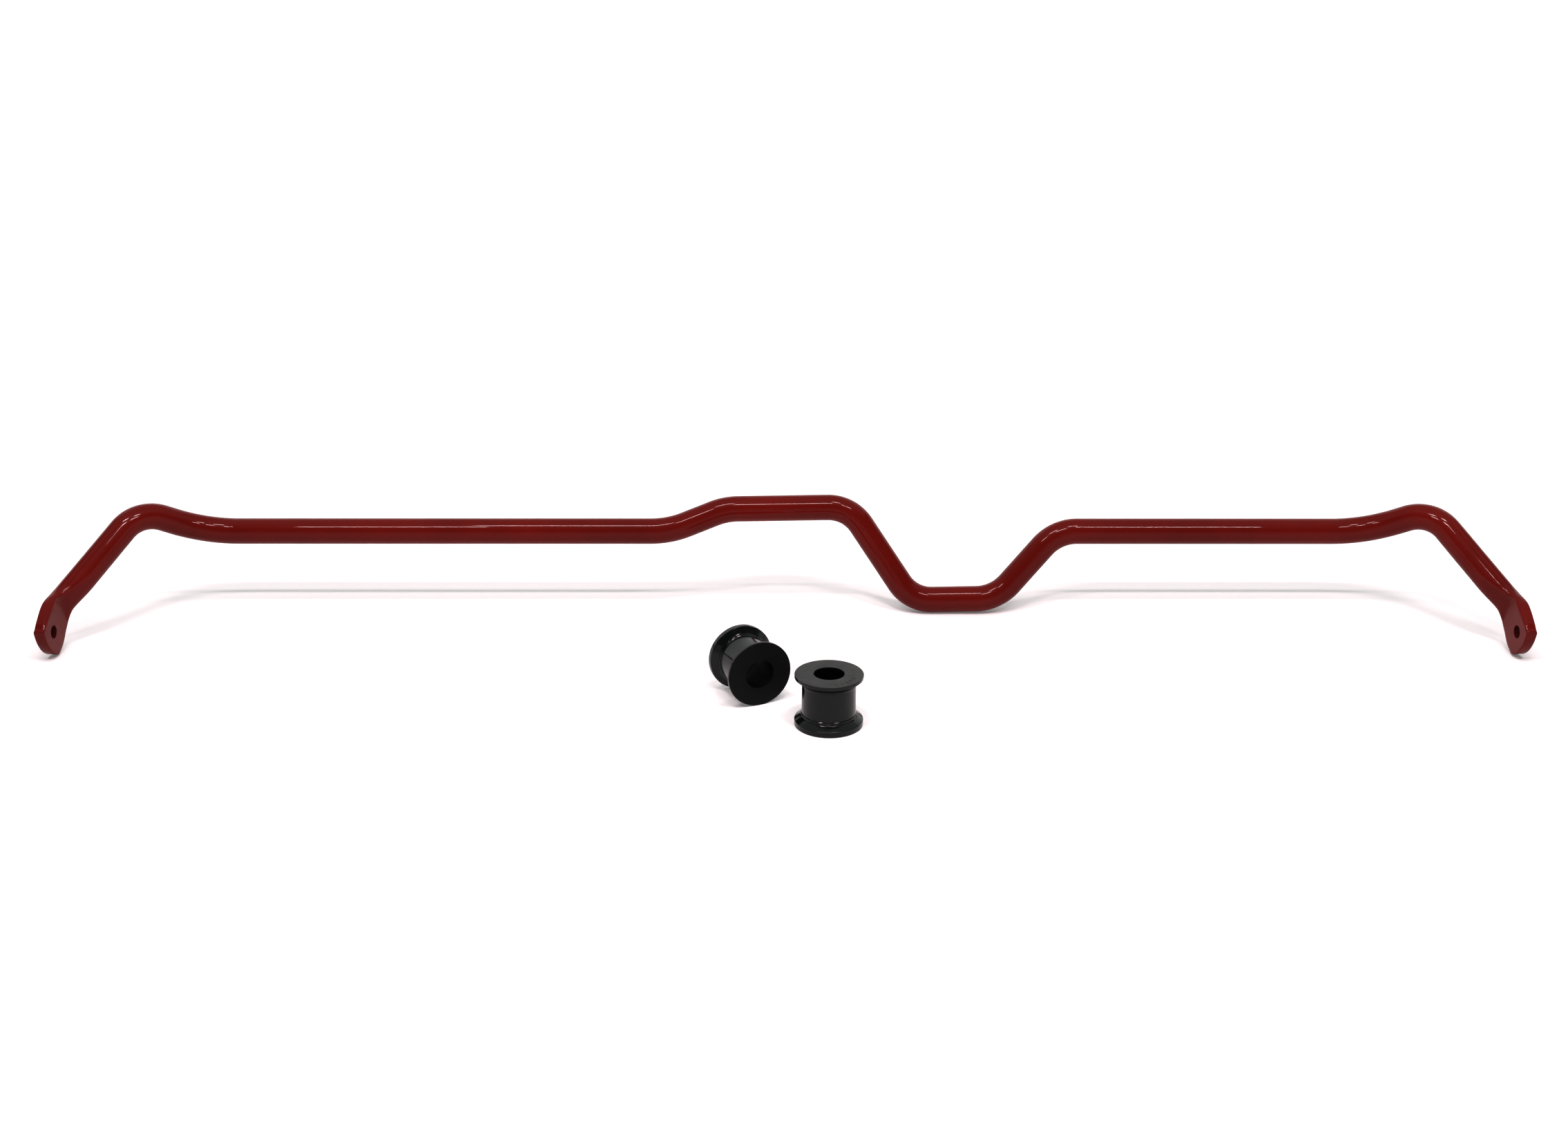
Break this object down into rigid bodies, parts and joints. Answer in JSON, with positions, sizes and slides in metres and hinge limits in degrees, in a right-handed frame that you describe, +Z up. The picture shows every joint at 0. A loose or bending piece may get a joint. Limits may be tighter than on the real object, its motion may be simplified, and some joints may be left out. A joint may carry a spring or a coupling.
{
  "type": "sway bar",
  "caption": "Forged anti-roll bar with an offset dog-leg and flat pierced eyes, and two loose flanged bushes beside it.",
  "frame": {"origin": "on the table, in the middle of the space that the kit covers", "axes": "+X along the bar to its right end, -Y to the side where the arms and the bushes lie, +Z up"},
  "size_m": [1.1898, 0.2768, 0.1005],
  "materials": {
    "red_paint": "gloss",
    "black_urethane": "semi-gloss moulded polyurethane"
  },
  "bodies": {
    "bar": {"sway_bar": "red_paint"},
    "lying_bush": {"mount_bush_lying": "black_urethane"},
    "upright_bush": {"mount_bush_upright": "black_urethane"}
  },
  "joints": [
    {"name": "lying_bush_lift", "type": "slide", "parent": "bar", "child": "lying_bush", "axis": [0, 0, 1], "range_m": [0, 0.15]},
    {"name": "upright_bush_lift", "type": "slide", "parent": "bar", "child": "upright_bush", "axis": [0, 0, 1], "range_m": [0, 0.15]}
  ]
}
